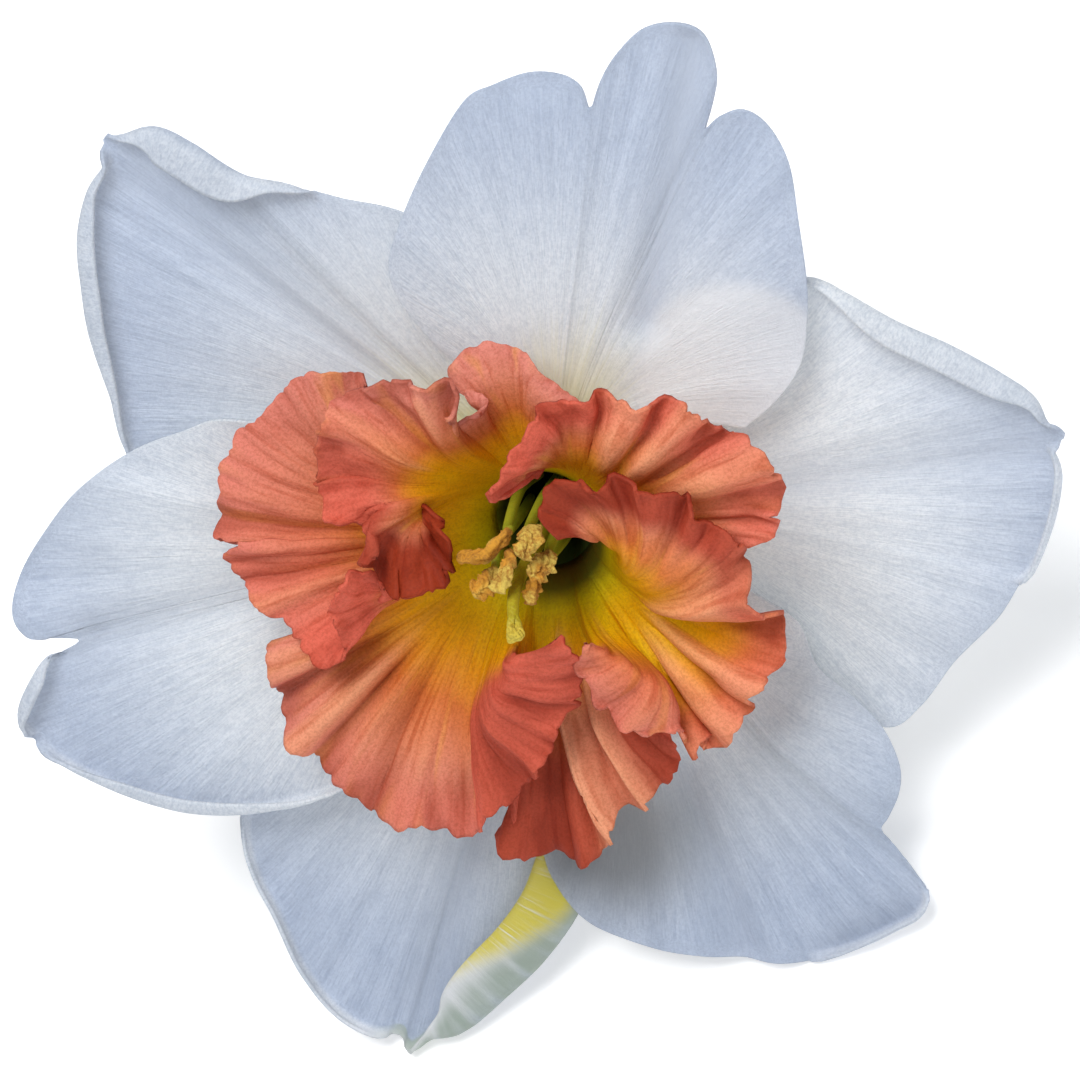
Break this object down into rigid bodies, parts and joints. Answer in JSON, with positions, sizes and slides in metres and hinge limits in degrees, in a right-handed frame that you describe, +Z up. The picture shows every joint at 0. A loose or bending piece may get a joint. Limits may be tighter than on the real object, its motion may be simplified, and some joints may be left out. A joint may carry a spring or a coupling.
{
  "type": "daffodil flower",
  "caption": "Daffodil flower with broad white petals and a large frilled salmon-pink cup, picked with a short bent stem and lying face up.",
  "frame": {"origin": "middle of the bounding box's base, on the surface that the flower lies on", "axes": "+Z up from the surface, +X along the longest extent; the flower faces -Y and up, and the stem lies level behind it towards -X"},
  "size_m": [0.1128, 0.0824, 0.0686],
  "materials": {
    "tepal": "soft, slightly translucent, bluish white petal with fine veins along it",
    "corona": "soft, matt and translucent, pink at the frilled rim, orange and yellow to green in the throat",
    "tube": "satin, fleshy, yellow-green",
    "ovary": "satin, fleshy, green",
    "stem": "satin, waxy, green",
    "spathe": "dry, papery, pale brown",
    "stamen": "powdery, ochre yellow",
    "pistil": "satin, pale yellow-green"
  },
  "bodies": {
    "root": {"top_tepal": "tepal", "right_tepal": "tepal", "lower_right_tepal": "tepal", "bottom_tepal": "tepal", "left_tepal": "tepal", "upper_left_tepal": "tepal", "corona": "corona", "floral_tube": "tube", "ovary": "ovary", "stem": "stem", "spathe": "spathe", "stamen_1": "stamen", "stamen_2": "stamen", "stamen_3": "stamen", "stamen_4": "stamen", "stamen_5": "stamen", "stamen_6": "stamen", "pistil": "pistil"}
  },
  "joints": []
}
